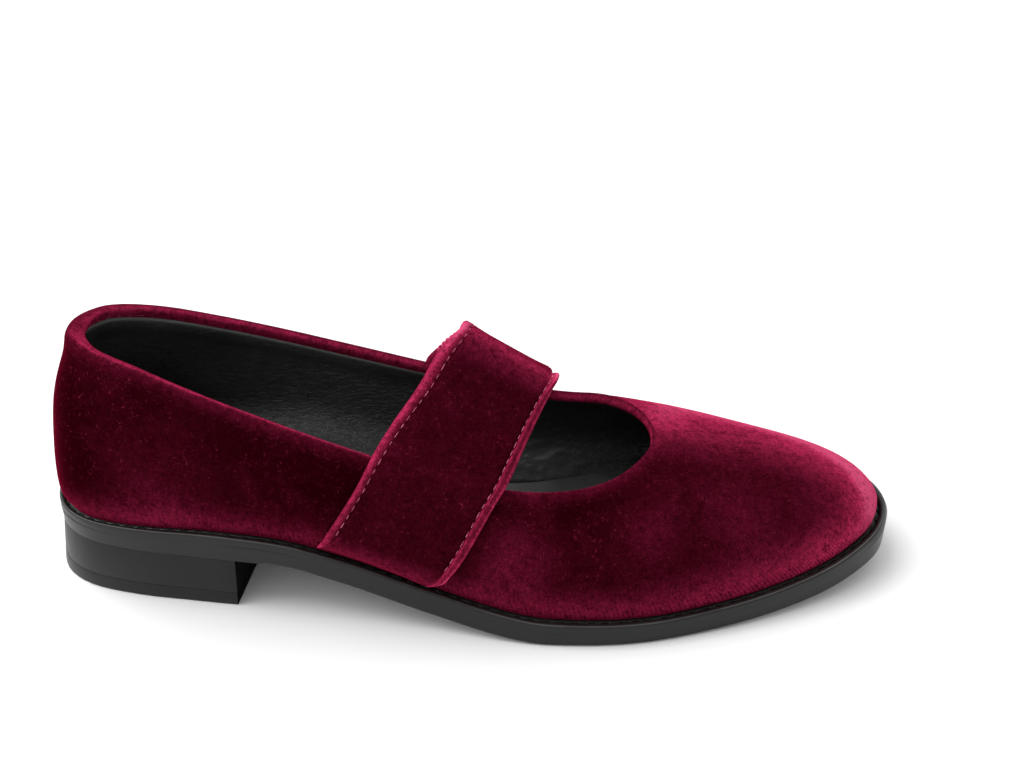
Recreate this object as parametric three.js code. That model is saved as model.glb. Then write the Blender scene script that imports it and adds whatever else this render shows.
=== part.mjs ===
// A right mary jane: a velvet upper and instep strap on a moulded sole with a low block heel.
// Millimetres. +X points to the toe, +Y to the inner (medial) side and +Z up. The sole stands on Z = 0.
import * as THREE from "three";

// Driving dimensions
const SHOE_LENGTH = 256.5;
const PIECE_GAP = 0.3;

const WALL_THICKNESS = 2.2;
const WALL_STEPS = 12;
const RIM_CROWN = 0.7;

const WELT_THICKNESS = 2.4;
const WELT_WIDTH = 13;
const WELT_EDGE_ROUND = 0.6;

const SOLE_EDGE_INSET = 0.3;
const SOLE_EDGE_ROUND = 0.9;

const INSOLE_THICKNESS = 3;
const INSOLE_CLEARANCE = 0.6;
const INSOLE_EDGE_ROUND = 0.8;

const HEEL_BREAST_LATERAL = 58.5;
const HEEL_BREAST_MEDIAL = 66;
const HEEL_INSET = 0.4;
const HEEL_TAPER = 0.07;
const HEEL_RAKE = 2.2;
const HEEL_STEPS = 18;
const TOP_LIFT_HEIGHT = 4.6;

const STRAP_THICKNESS = 2.6;
const STRAP_CLEARANCE = 0.5;
const STRAP_EDGE_SHARE = 0.35;
const STRAP_WALL_STEPS = 8;
const STRAP_ARCH_STEPS = 14;
const STRAP_WIDTH_PLACES = [0, 0.03, 0.25, 0.5, 0.75, 0.97, 1];

const LOOP_STEPS_PER_ROW = 3;

// Sole edge: share of the length from the heel, the half width on each side of the heel's axis,
// and how much of the welt shows outside the upper
const SOLE_EDGE = [
  { at: 0.003, lateral: 0, medial: 0, ledge: 0.9 },
  { at: 0.016, lateral: 12, medial: 12, ledge: 1 },
  { at: 0.05, lateral: 20.4, medial: 20.4, ledge: 1.4 },
  { at: 0.11, lateral: 26, medial: 26.2, ledge: 2 },
  { at: 0.184, lateral: 29.5, medial: 29.3, ledge: 2.6 },
  { at: 0.266, lateral: 33.2, medial: 28.8, ledge: 3 },
  { at: 0.368, lateral: 37.8, medial: 27.6, ledge: 3.2 },
  { at: 0.47, lateral: 42.5, medial: 29, ledge: 3.2 },
  { at: 0.572, lateral: 47.6, medial: 35.4, ledge: 3.2 },
  { at: 0.675, lateral: 47.6, medial: 42.6, ledge: 3.2 },
  { at: 0.778, lateral: 41.4, medial: 43.8, ledge: 3.2 },
  { at: 0.875, lateral: 32, medial: 37.6, ledge: 3.2 },
  { at: 0.945, lateral: 22, medial: 27.4, ledge: 3.2 },
  { at: 0.985, lateral: 12.2, medial: 15.6, ledge: 3.2 },
  { at: 1, lateral: -1, medial: 1, ledge: 3.2 },
];

// Side profile: underside of the sole and top of the welt, where the upper meets it (the feather line)
const SIDE_PROFILE = [
  { at: 0, under: 18, feather: 24.8 },
  { at: 0.1, under: 18, feather: 25.4 },
  { at: 0.2, under: 18, feather: 26 },
  { at: 0.27, under: 18, feather: 25.6 },
  { at: 0.35, under: 14, feather: 21.8 },
  { at: 0.45, under: 6.4, feather: 14.4 },
  { at: 0.52, under: 2, feather: 9.8 },
  { at: 0.58, under: 0, feather: 7.4 },
  { at: 0.7, under: 0, feather: 6.9 },
  { at: 0.8, under: 0.7, feather: 8 },
  { at: 0.9, under: 2.8, feather: 11 },
  { at: 1, under: 8, feather: 17.8 },
];

// Topline: the top edge of the upper in each section, from the heel round to the throat.
// A section runs from the sole edge row of the same place to this point.
const TOPLINE = [
  { lateral: [11.8, 0, 80.4], medial: [11.8, 0, 80.4] },
  { lateral: [13.6, -6, 80.1], medial: [13.6, 6, 80.4] },
  { lateral: [19.8, -13, 78.8], medial: [19.8, 12.5, 79.6] },
  { lateral: [33, -19, 76], medial: [33, 18.5, 76] },
  { lateral: [49, -23.2, 70.8], medial: [49, 22.8, 70.6] },
  { lateral: [68, -26, 64], medial: [68, 26.2, 64.2] },
  { lateral: [92, -29, 56], medial: [92, 28, 56.8] },
  { lateral: [117, -31.6, 48.8], medial: [117, 28.2, 50] },
  { lateral: [141, -32, 43.4], medial: [141, 27.6, 44.7] },
  { lateral: [158, -29.3, 42.1], medial: [158, 26, 42.2] },
  { lateral: [168.5, -24.2, 42.2], medial: [169, 22.8, 42.6] },
  { lateral: [175.5, -16.5, 42.1], medial: [176, 17.5, 42.9] },
  { lateral: [179.6, -10.3, 42.4], medial: [180, 11.8, 43] },
  { lateral: [181.8, -5, 42.6], medial: [182, 6.5, 42.9] },
  { lateral: [182.7, 1, 42.8], medial: [182.7, 1, 42.8] },
];

// Swell of the wall: how far each section's curve pulls up and out from the feather line,
// and out and down from the topline
const WALL_SWELL = [
  { rise: 20, out: 2.2, reach: 5.3, fall: 18 },
  { rise: 20, out: 2.3, reach: 5.2, fall: 18 },
  { rise: 19, out: 2.6, reach: 5, fall: 17 },
  { rise: 17, out: 3.5, reach: 4, fall: 16 },
  { rise: 15, out: 3.5, reach: 4, fall: 14 },
  { rise: 13, out: 3.5, reach: 4, fall: 12 },
  { rise: 12, out: 3.2, reach: 4.5, fall: 10 },
  { rise: 12, out: 3, reach: 5.5, fall: 9 },
  { rise: 12, out: 2.5, reach: 7, fall: 8 },
  { rise: 12, out: 2, reach: 11, fall: 7 },
  { rise: 12, out: 2, reach: 16, fall: 7 },
  { rise: 13.5, out: 2, reach: 23, fall: 7.5 },
  { rise: 13.5, out: 2, reach: 29, fall: 8.5 },
  { rise: 13, out: 2, reach: 34, fall: 9.5 },
  { rise: 12.5, out: 2, reach: 36, fall: 9.5 },
];
const SECTION_TURN = 12;

// Strap: where its back and front edges cross the sections, at the start and end of each side
const STRAP_LATERAL = [
  { up: 0.08, back: 5.6, front: 6.95 },
  { up: 1, back: 6.28, front: 7.85 },
];
const STRAP_MEDIAL = [
  { up: 1, back: 6.72, front: 8.4 },
  { up: 0.28, back: 6.33, front: 7.67 },
];

// Strap: its edges where it bridges the opening, from the lateral to the medial side
const STRAP_BRIDGE = [
  { back: [113, -12, 66.3], front: [146, -13.5, 52.8] },
  { back: [125, 4.5, 76.6], front: [152.8, 3, 58.4] },
  { back: [120.5, 19.5, 67.6], front: [153, 18, 52.6] },
];

const LAST_ROW = SOLE_EDGE.length - 1;
const LOOP = 2 * LAST_ROW * LOOP_STEPS_PER_ROW;

// A smooth curve through one column of a table that never overshoots its rows
function tableCurve(places, values) {
  const count = places.length;
  const slope = [];
  for (let i = 0; i < count - 1; i += 1) {
    slope.push((values[i + 1] - values[i]) / (places[i + 1] - places[i]));
  }
  const tangent = values.map((_, i) => {
    if (i === 0) return slope[0];
    if (i === count - 1) return slope[count - 2];
    if (slope[i - 1] * slope[i] <= 0) return 0;
    return (2 * slope[i - 1] * slope[i]) / (slope[i - 1] + slope[i]);
  });
  return (place) => {
    const p = THREE.MathUtils.clamp(place, places[0], places[count - 1]);
    let i = 0;
    while (i < count - 2 && p > places[i + 1]) i += 1;
    const span = places[i + 1] - places[i];
    const t = (p - places[i]) / span;
    const rest = 1 - t;
    return (
      values[i] * rest * rest * (1 + 2 * t) +
      values[i + 1] * t * t * (3 - 2 * t) +
      span * t * rest * (tangent[i] * rest - tangent[i + 1] * t)
    );
  };
}

const profilePlaces = SIDE_PROFILE.map((row) => row.at * SHOE_LENGTH);
const underside = tableCurve(profilePlaces, SIDE_PROFILE.map((row) => row.under));
const feather = tableCurve(profilePlaces, SIDE_PROFILE.map((row) => row.feather));

// A closed curve: the lateral rows from heel to toe, then the medial rows back to the heel
function closedCurve(lateralPoint, medialPoint) {
  const points = [];
  for (let row = 0; row <= LAST_ROW; row += 1) points.push(lateralPoint(row));
  for (let row = LAST_ROW - 1; row > 0; row -= 1) points.push(medialPoint(row));
  return new THREE.CatmullRomCurve3(points, true, "centripetal");
}

const soleEdge = closedCurve(
  (row) => new THREE.Vector3(SOLE_EDGE[row].at * SHOE_LENGTH, -SOLE_EDGE[row].lateral, 0),
  (row) => new THREE.Vector3(SOLE_EDGE[row].at * SHOE_LENGTH, SOLE_EDGE[row].medial, 0),
);
const topline = closedCurve(
  (row) => new THREE.Vector3(...TOPLINE[row].lateral),
  (row) => new THREE.Vector3(...TOPLINE[row].medial),
);

const swellRows = WALL_SWELL.map((_, row) => row);
const swell = {};
for (const column of ["rise", "out", "reach", "fall"]) {
  swell[column] = tableCurve(swellRows, WALL_SWELL.map((row) => row[column]));
}
const weltLedge = tableCurve(swellRows, SOLE_EDGE.map((row) => row.ledge));

// Place on the closed curves: 0 at the back of the heel, 0.5 at the toe
const wrap = (place) => ((place % 1) + 1) % 1;
const rowOf = (place) => Math.min(place, 1 - place) * 2 * LAST_ROW;
const lateralPlace = (row) => row / (2 * LAST_ROW);
const medialPlace = (row) => 1 - row / (2 * LAST_ROW);

function edgeNormal(place) {
  const along = soleEdge.getTangent(place);
  return new THREE.Vector3(along.y, -along.x, 0).normalize();
}

// A point on the sole's edge, moved inwards
function insetEdge(place, inset) {
  return soleEdge.getPoint(place).addScaledVector(edgeNormal(place), -inset);
}

// A ring of points round the sole, moved inwards, at a height that follows the length
function soleRing(inset, height) {
  const ring = [];
  for (let i = 0; i < LOOP; i += 1) {
    const place = i / LOOP;
    const point = insetEdge(place, typeof inset === "function" ? inset(rowOf(place)) : inset);
    ring.push(point.setZ(height(point.x)));
  }
  return ring;
}

// Outer face of the upper: a curve from the feather line (up = 0) to the topline (up = 1)
function wallPoint(placeIn, up) {
  const place = wrap(placeIn);
  const row = rowOf(place);
  const foot = insetEdge(place, weltLedge(row));
  foot.z = feather(foot.x) + PIECE_GAP;
  const top = topline.getPoint(place);
  const normal = edgeNormal(place);
  const outward = new THREE.Vector3(foot.x - top.x, foot.y - top.y, 0)
    .addScaledVector(normal, SECTION_TURN)
    .normalize();
  const footPull = foot.clone().addScaledVector(normal, swell.out(row));
  footPull.z += swell.rise(row);
  const topPull = top.clone().addScaledVector(outward, swell.reach(row));
  topPull.z -= swell.fall(row);
  return new THREE.CubicBezierCurve3(foot, footPull, topPull, top).getPoint(up);
}

function wallNormal(place, up) {
  const small = 0.004;
  const along = wallPoint(place + small, up).sub(wallPoint(place - small, up));
  const low = Math.max(up - small, 0);
  const high = Math.min(up + small, 1);
  const rising = wallPoint(place, high).sub(wallPoint(place, low));
  return along.cross(rising).normalize();
}

function wallOffset(place, up, distance) {
  return wallPoint(place, up).addScaledVector(wallNormal(place, up), distance);
}

// Solids: rings of points joined by quads
class Solid {
  constructor() {
    this.points = [];
    this.faces = [];
  }

  addRing(ring) {
    const first = this.points.length;
    this.points.push(...ring);
    return ring.map((_, i) => first + i);
  }

  quad(a, b, c, d) {
    this.faces.push(a, b, c, a, c, d);
  }

  joinRings(low, high) {
    for (let i = 0; i < low.length; i += 1) {
      const next = (i + 1) % low.length;
      this.quad(low[i], low[next], high[next], high[i]);
    }
  }

  // Closes a ring with strips between each point and its partner across the ring
  capRing(ring, facesUp) {
    const count = ring.length;
    for (let i = 0; i < count / 2; i += 1) {
      const near = [ring[i], ring[i + 1]];
      const far = [ring[(count - i) % count], ring[count - i - 1]];
      const corners = [near[0], near[1], far[1], far[0]];
      const outline = corners.filter((corner, k) => corners.indexOf(corner) === k);
      if (outline.length < 3) continue;
      if (!facesUp) outline.reverse();
      for (let k = 1; k < outline.length - 1; k += 1) {
        this.faces.push(outline[0], outline[k], outline[k + 1]);
      }
    }
  }

  geometry() {
    const geometry = new THREE.BufferGeometry().setFromPoints(this.points);
    geometry.setIndex(this.faces);
    geometry.computeVertexNormals();
    return geometry;
  }
}

// A filled solid through rings from the bottom up
function slab(rings) {
  const solid = new Solid();
  const rows = rings.map((ring) => solid.addRing(ring));
  solid.capRing(rows[0], false);
  for (let k = 0; k < rows.length - 1; k += 1) solid.joinRings(rows[k], rows[k + 1]);
  solid.capRing(rows[rows.length - 1], true);
  return solid.geometry();
}

// A hollow band through rings: up the outside, over the top and down the inside
function band(rings) {
  const solid = new Solid();
  const rows = rings.map((ring) => solid.addRing(ring));
  rows.forEach((row, k) => solid.joinRings(row, rows[(k + 1) % rows.length]));
  return solid.geometry();
}

function upperGeometry() {
  const wallRing = (up, distance) => {
    const ring = [];
    for (let i = 0; i < LOOP; i += 1) ring.push(wallOffset(i / LOOP, up, distance));
    return ring;
  };
  const outside = [];
  const inside = [];
  for (let k = 0; k <= WALL_STEPS; k += 1) {
    outside.push(wallRing(k / WALL_STEPS, 0));
    inside.push(wallRing(k / WALL_STEPS, -WALL_THICKNESS));
  }
  for (const point of inside[0]) point.z = feather(point.x) + PIECE_GAP;
  const rim = wallRing(1, -WALL_THICKNESS / 2);
  for (const point of rim) point.z += RIM_CROWN;
  return band([...outside, rim, ...inside.reverse()]);
}

function weltGeometry() {
  const top = (x) => feather(x);
  const bottom = (x) => feather(x) - WELT_THICKNESS;
  return band([
    soleRing(WELT_EDGE_ROUND / 2, bottom),
    soleRing(0, (x) => bottom(x) + WELT_EDGE_ROUND),
    soleRing(0, (x) => top(x) - WELT_EDGE_ROUND),
    soleRing(WELT_EDGE_ROUND, top),
    soleRing(WELT_WIDTH, top),
    soleRing(WELT_WIDTH, bottom),
  ]);
}

function outsoleGeometry() {
  const top = (x) => feather(x) - WELT_THICKNESS - PIECE_GAP;
  return slab([
    soleRing(SOLE_EDGE_INSET + SOLE_EDGE_ROUND, underside),
    soleRing(SOLE_EDGE_INSET, (x) => underside(x) + SOLE_EDGE_ROUND),
    soleRing(SOLE_EDGE_INSET, top),
  ]);
}

function insoleGeometry() {
  const inset = (row) => weltLedge(row) + WALL_THICKNESS + INSOLE_CLEARANCE;
  const bottom = (x) => feather(x) + PIECE_GAP;
  const top = (x) => bottom(x) + INSOLE_THICKNESS;
  return slab([
    soleRing(inset, bottom),
    soleRing(inset, (x) => top(x) - INSOLE_EDGE_ROUND),
    soleRing((row) => inset(row) + INSOLE_EDGE_ROUND, top),
  ]);
}

// Place on one side of the sole's edge where it reaches a given distance from the heel
function placeAtLength(x, placeOfRow) {
  let low = 0;
  let high = LAST_ROW / 2;
  for (let i = 0; i < 40; i += 1) {
    const middle = (low + high) / 2;
    if (soleEdge.getPoint(placeOfRow(middle)).x < x) low = middle;
    else high = middle;
  }
  return placeOfRow(low);
}

const heelTop = underside(0) - PIECE_GAP;

// A ring round the heel. Towards the floor the heel narrows and leans back.
function heelRing(height) {
  const share = 1 - height / heelTop;
  const lateralEnd = placeAtLength(HEEL_BREAST_LATERAL, lateralPlace);
  const medialEnd = placeAtLength(HEEL_BREAST_MEDIAL, medialPlace);
  const edgePoint = (place) => {
    const point = insetEdge(place, HEEL_INSET);
    return point.set(point.x - HEEL_RAKE * share, point.y * (1 - HEEL_TAPER * share), height);
  };
  const ring = [];
  for (let i = 0; i <= HEEL_STEPS; i += 1) ring.push(edgePoint((lateralEnd * i) / HEEL_STEPS));
  for (let i = HEEL_STEPS; i > 0; i -= 1) ring.push(edgePoint(1 - ((1 - medialEnd) * i) / HEEL_STEPS));
  return ring;
}

function heelBlockGeometry() {
  const bottom = TOP_LIFT_HEIGHT + PIECE_GAP;
  return slab([heelRing(bottom), heelRing(heelTop)]);
}

function topLiftGeometry() {
  return slab([heelRing(0), heelRing(TOP_LIFT_HEIGHT)]);
}

// One line along the strap: up the lateral wall, over the instep and down the medial wall.
// across runs from 0 at the back edge to 1 at the front edge.
function strapLine(across) {
  const middle = STRAP_CLEARANCE + STRAP_THICKNESS / 2;
  const mix = THREE.MathUtils.lerp;
  const sidePoints = (table, placeOfRow) => {
    const points = [];
    for (let k = 0; k <= STRAP_WALL_STEPS; k += 1) {
      const share = k / STRAP_WALL_STEPS;
      const up = mix(table[0].up, table[1].up, share);
      const back = mix(table[0].back, table[1].back, share);
      const front = mix(table[0].front, table[1].front, share);
      points.push(wallOffset(placeOfRow(mix(back, front, across)), up, middle));
    }
    return points;
  };
  const lateral = sidePoints(STRAP_LATERAL, lateralPlace);
  const medial = sidePoints(STRAP_MEDIAL, medialPlace);
  const bridge = STRAP_BRIDGE.map((row) => {
    return new THREE.Vector3(...row.back).lerp(new THREE.Vector3(...row.front), across);
  });
  const guide = [lateral.at(-2), lateral.at(-1), ...bridge, medial[0], medial[1]];
  const spans = guide.length - 1;
  const arch = new THREE.CatmullRomCurve3(guide, false, "centripetal");
  const over = [];
  for (let k = 1; k < STRAP_ARCH_STEPS; k += 1) {
    over.push(arch.getPoint((1 + ((spans - 2) * k) / STRAP_ARCH_STEPS) / spans));
  }
  return [...lateral, ...over, ...medial];
}

function strapGeometry() {
  const lines = STRAP_WIDTH_PLACES.map(strapLine);
  const count = lines[0].length;
  const lastLine = lines.length - 1;
  const faceNormal = (line, k) => {
    const along = lines[line][Math.min(k + 1, count - 1)].clone().sub(lines[line][Math.max(k - 1, 0)]);
    const across = lines[Math.min(line + 1, lastLine)][k].clone().sub(lines[Math.max(line - 1, 0)][k]);
    return across.cross(along).normalize();
  };
  const facePoint = (line, k, side) => {
    const edge = line === 0 || line === lastLine;
    const half = (STRAP_THICKNESS / 2) * (edge ? STRAP_EDGE_SHARE : 1);
    const point = lines[line][k].clone().addScaledVector(faceNormal(line, k), side * half);
    point.z = Math.max(point.z, feather(point.x) + PIECE_GAP);
    return point;
  };
  const solid = new Solid();
  const rows = [];
  for (let k = 0; k < count; k += 1) {
    const outer = lines.map((_, line) => facePoint(line, k, 1));
    const inner = lines.map((_, line) => facePoint(line, k, -1)).reverse();
    rows.push(solid.addRing([...outer, ...inner]));
  }
  solid.capRing(rows[0], false);
  for (let k = 0; k < count - 1; k += 1) solid.joinRings(rows[k], rows[k + 1]);
  solid.capRing(rows[count - 1], true);
  return solid.geometry();
}

function piece(name, geometry, color, roughness) {
  const material = new THREE.MeshStandardMaterial({ color, roughness, metalness: 0 });
  const mesh = new THREE.Mesh(geometry, material);
  mesh.name = name;
  return mesh;
}

const VELVET = 0x5a0a22;
const LEATHER_BLACK = 0x1c1b1b;
const RUBBER_BLACK = 0x262525;

const pieces = new THREE.Group();
pieces.add(piece("heel_top_lift", topLiftGeometry(), RUBBER_BLACK, 0.6));
pieces.add(piece("heel_block", heelBlockGeometry(), RUBBER_BLACK, 0.5));
pieces.add(piece("outsole", outsoleGeometry(), RUBBER_BLACK, 0.5));
pieces.add(piece("welt", weltGeometry(), RUBBER_BLACK, 0.45));
pieces.add(piece("insole", insoleGeometry(), LEATHER_BLACK, 0.6));
pieces.add(piece("upper", upperGeometry(), VELVET, 0.9));
pieces.add(piece("strap", strapGeometry(), VELVET, 0.9));

// The origin is under the middle of the shoe
const box = new THREE.Box3().setFromObject(pieces);
const middle = box.getCenter(new THREE.Vector3());
pieces.position.set(-middle.x, -middle.y, -box.min.z);

const shoe = new THREE.Group();
shoe.add(pieces);

export default shoe;
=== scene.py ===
# A right mary jane, put together from the sole up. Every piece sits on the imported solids, in their
# frame: +X to the toe, +Y to the inner side of the foot, +Z up. Shapes are worked out in millimetres.
import math

import bpy
import numpy as np
from mathutils import Matrix


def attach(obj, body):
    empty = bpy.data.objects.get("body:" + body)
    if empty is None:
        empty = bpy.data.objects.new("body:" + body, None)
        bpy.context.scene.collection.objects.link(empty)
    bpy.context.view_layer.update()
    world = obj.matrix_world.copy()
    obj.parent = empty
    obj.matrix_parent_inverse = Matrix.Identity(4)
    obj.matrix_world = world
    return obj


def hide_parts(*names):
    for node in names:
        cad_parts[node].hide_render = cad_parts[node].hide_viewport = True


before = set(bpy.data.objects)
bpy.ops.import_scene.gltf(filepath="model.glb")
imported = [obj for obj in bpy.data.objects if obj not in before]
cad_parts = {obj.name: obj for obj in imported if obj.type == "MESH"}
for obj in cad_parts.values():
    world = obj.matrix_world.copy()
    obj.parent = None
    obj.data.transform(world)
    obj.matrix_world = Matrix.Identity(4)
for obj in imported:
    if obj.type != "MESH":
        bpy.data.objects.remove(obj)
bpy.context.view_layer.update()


# Sole unit: forefoot, arched waist, heel seat and welt, moulded in one piece of black rubber.
# The welt ends in a half-round rim, paler at its shoulder from wear and a painted highlight, with a
# painted reflection along its crown. Beside the upper it has a groove for the stitches, and a fine
# moulded line runs along the side at the toe and the heel.
MM = 0.001
MERGE = 1e-6
AROUND = 84
FINE_AROUND = 420


def cad_rings(name, around):
    """The rings of points that a CAD node was built from, in millimetres, read off its triangles."""
    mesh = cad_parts[name].data
    spots = np.empty(len(mesh.vertices) * 3, np.float32)
    mesh.vertices.foreach_get("co", spots)
    points, same = np.unique(spots.reshape(-1, 3).astype(float).round(7), axis=0, return_inverse=True)
    corners = np.empty(len(mesh.loops), np.int32)
    mesh.loops.foreach_get("vertex_index", corners)
    after = {}
    for a, b, c in same.ravel()[corners].reshape(-1, 3).tolist():
        after[a, b], after[b, c], after[c, a] = c, a, b

    def turned(centre, start, steps):
        for _ in range(steps):
            start = after[centre, start]
        return start

    def straight_ring(a, b):
        ring = [a, b]
        while len(ring) <= around:
            ring.append(turned(ring[-1], ring[-2], 3))
        return ring[:-1] if ring[-1] == a and len(set(ring)) == around else None

    def length(ring):
        return np.linalg.norm(np.diff(points[ring + ring[:1]], axis=0), axis=1).sum()

    rings = [min(filter(None, (straight_ring(a, b) for a, b in after)), key=length)]
    for side in (1, -1):
        while True:
            ring = rings[-1] if side > 0 else rings[0][::-1]
            level = [turned(p, q, 2) for p, q in zip(ring, ring[1:] + ring[:1])]
            if level[0] in rings[0] or level[0] in rings[-1]:
                break
            rings.insert(len(rings) if side > 0 else 0, level[::side])
            if straight_ring(level[0], level[1]) is None:
                break
    return points[np.array(rings)] / MM


def smoothed(points, places, closed=False):
    """Points at fractional places along the first axis, on a smooth curve through the given ones."""
    last = len(points) - 1
    if not closed:
        points = np.concatenate([[2 * points[0] - points[1]], points, [2 * points[-1] - points[-2]]])
        places = places + 1
    start = np.floor(places).astype(int)
    if not closed:
        start = np.minimum(start, last)
    t = (places - start).reshape(-1, *[1] * (points.ndim - 1))
    before, here, there, beyond = (points[(start + k) % len(points)] for k in (-1, 0, 1, 2))
    return (
        before * (2 * t**2 - t - t**3)
        + here * (2 - 5 * t**2 + 3 * t**3)
        + there * (t + 4 * t**2 - 3 * t**3)
        + beyond * (t**3 - t**2)
    ) / 2


def sole_rings(name):
    """A node's rings round the foot, made finer, from the back of the heel along the outer side."""
    rings = cad_rings(name, AROUND)
    rings = np.roll(rings, -rings[:, :, 0].mean(axis=0).argmin(), axis=1)
    if rings[:, 1, 1].mean() > rings[:, -1, 1].mean():
        rings = np.roll(rings[:, ::-1], 1, axis=1)
    places = np.arange(FINE_AROUND) * AROUND / FINE_AROUND
    return smoothed(rings.swapaxes(0, 1), places, closed=True).swapaxes(0, 1)


def lowest_first(rings):
    """Rings in order from the lowest up."""
    return rings if rings[0, :, 2].mean() < rings[-1, :, 2].mean() else rings[::-1]


def height_along(ring):
    """A ring's height, as a function of the place along the foot."""
    order = ring[:, 0].argsort()
    return lambda x: np.interp(x, ring[order, 0], ring[order, 2])


def cover(ring, shares):
    """Rings that close an outline from its middle to its edge, at the outline's own heights."""
    height = height_along(ring)
    middle = np.array([ring[:, 0].mean(), ring[:, 1].mean(), 0])
    rings = []
    for share in shares:
        inner = middle + (ring - middle) * share
        inner[:, 2] = height(inner[:, 0])
        rings.append(inner)
    return np.array(rings)


def joined(points, axis):
    """Points with the first row or column repeated after the last."""
    return np.concatenate([points, points.take([0], axis=axis)], axis=axis)


def bell(distance, width, power=2):
    """1 at no distance, falling softly towards 0 beyond the width."""
    return np.exp(-((distance / width) ** power))


def rising(distance, reach):
    """0 up to no distance, then straight up to 1 at the reach."""
    return np.clip(distance / reach, 0, 1)


def fading(distance, reach):
    """1 up to no distance, then straight down to 0 at the reach."""
    return np.clip(1 - distance / reach, 0, 1)


def shaped_grid(name, points, **marks):
    """A grid of quads, moved to rows of points in millimetres, with points that meet merged.
    Each mark gives a number to every point, which the mesh keeps as an attribute for its finish."""
    rows, columns = points.shape[:2]
    bpy.ops.object.select_all(action="DESELECT")
    bpy.ops.mesh.primitive_grid_add(x_subdivisions=columns - 1, y_subdivisions=rows - 1)
    piece = bpy.context.object
    piece.name = name
    piece.data.name = name
    piece.data.vertices.foreach_set("co", (points * MM).ravel())
    for mark, values in marks.items():
        attribute = piece.data.attributes.new(mark, "FLOAT", "POINT")
        attribute.data.foreach_set("value", values.ravel().astype(np.float32))
    bpy.ops.object.mode_set(mode="EDIT")
    bpy.ops.mesh.select_all(action="SELECT")
    bpy.ops.mesh.remove_doubles(threshold=MERGE)
    bpy.ops.mesh.normals_make_consistent(inside=False)
    bpy.ops.object.mode_set(mode="OBJECT")
    bpy.ops.object.shade_smooth()
    return piece


class Socket:
    """A socket of a finish's nodes. Sums on it add Math nodes, and node() adds any other node."""

    def __init__(self, tree, output=None):
        self.tree = tree
        self.output = output

    def node(self, kind, settings, inputs, output=0):
        made = self.tree.nodes.new(kind)
        for key, value in settings.items():
            setattr(made, key, value)
        for key, value in inputs.items():
            if isinstance(value, Socket):
                self.tree.links.new(value.output, made.inputs[key])
            else:
                made.inputs[key].default_value = value
        return Socket(self.tree, made.outputs[output])

    def math(self, operation, first, second):
        return self.node("ShaderNodeMath", {"operation": operation}, {0: first, 1: second})

    def __add__(self, other):
        return self.math("ADD", self, other)

    def __sub__(self, other):
        return self.math("SUBTRACT", self, other)

    def __rsub__(self, other):
        return self.math("SUBTRACT", other, self)

    def __mul__(self, other):
        return self.math("MULTIPLY", self, other)

    __radd__ = __add__
    __rmul__ = __mul__

    def between(self, low, high):
        """0 below low, 1 above high and a soft step from one to the other."""
        return self.node(
            "ShaderNodeMapRange",
            {"interpolation_type": "SMOOTHSTEP"},
            {"Value": self, "From Min": low, "From Max": high},
        )

    def tint(self, first, second):
        """A colour from first where this is 0 to second where it is 1."""
        return self.node("ShaderNodeMix", {"data_type": "RGBA"}, {0: self, 6: first, 7: second}, 2)

    def noise(self, scale, detail, roughness, distortion=0.0):
        """Noise over this vector, which is in millimetres, with scale features a millimetre."""
        values = {"Vector": self, "Scale": scale, "Detail": detail, "Roughness": roughness}
        return self.node("ShaderNodeTexNoise", {}, values | {"Distortion": distortion})

    def stretched(self, x, y, z):
        return self.node("ShaderNodeVectorMath", {"operation": "MULTIPLY"}, {0: self, 1: (x, y, z)})


class Finish:
    """A material with one Principled shader. Constant values are set on the shader's own sockets."""

    def __init__(self, name, constants):
        self.material = bpy.data.materials.new(name)
        self.material.use_nodes = True
        self.tree = self.material.node_tree
        self.shader = self.tree.nodes["Principled BSDF"]
        for key, value in constants.items():
            self.shader.inputs[key].default_value = value

    def place(self):
        """Where a point is on the object, in millimetres."""
        spot = Socket(self.tree).node("ShaderNodeTexCoord", {}, {}, "Object")
        return spot.stretched(1 / MM, 1 / MM, 1 / MM)

    def mark(self, name):
        return Socket(self.tree).node("ShaderNodeAttribute", {"attribute_name": name}, {}, "Fac")

    def feeds(self, **sockets):
        for key, socket in sockets.items():
            self.tree.links.new(socket.output, self.shader.inputs[key.replace("_", " ")])

    def bumps(self, *layers):
        """Relief from pairs of a height from 0 to 1 and its depth in millimetres, each on the last."""
        normal = None
        for height, depth in layers:
            values = {"Height": height, "Distance": depth * MM, "Strength": 1.0}
            if normal:
                values["Normal"] = normal
            normal = height.node("ShaderNodeBump", {}, values)
        self.feeds(Normal=normal)


RUBBER_DARK = (0.0018, 0.0018, 0.0019, 1)
RUBBER_WORN = (0.0034, 0.0034, 0.0035, 1)
RUBBER_WEAR_AND_HIGHLIGHT = (0.13, 0.125, 0.12, 1)


def rubber_finish(name, roughness, gloss=0.31):
    """Black moulded rubber, cloudy with wear, and paler where its mark of rubbed wear and painted
    highlight rises to 1.
    """
    finish = Finish(name, {"Specular IOR Level": gloss})
    place = finish.place()
    cloudy = place.noise(0.06, 3, 0.6)
    grain = place.noise(3.5, 2, 0.5)
    black = cloudy.between(0.35, 0.75).tint(RUBBER_DARK, RUBBER_WORN)
    rubbed = finish.mark("rubbed") * (cloudy.between(0.3, 0.7) * 0.6 + 0.4)
    finish.feeds(
        Base_Color=rubbed.tint(black, RUBBER_WEAR_AND_HIGHLIGHT),
        Roughness=cloudy * 0.16 + (roughness - 0.08),
    )
    finish.bumps((grain, 0.012), (place.noise(0.5, 2, 0.5), 0.03))
    return finish.material


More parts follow.
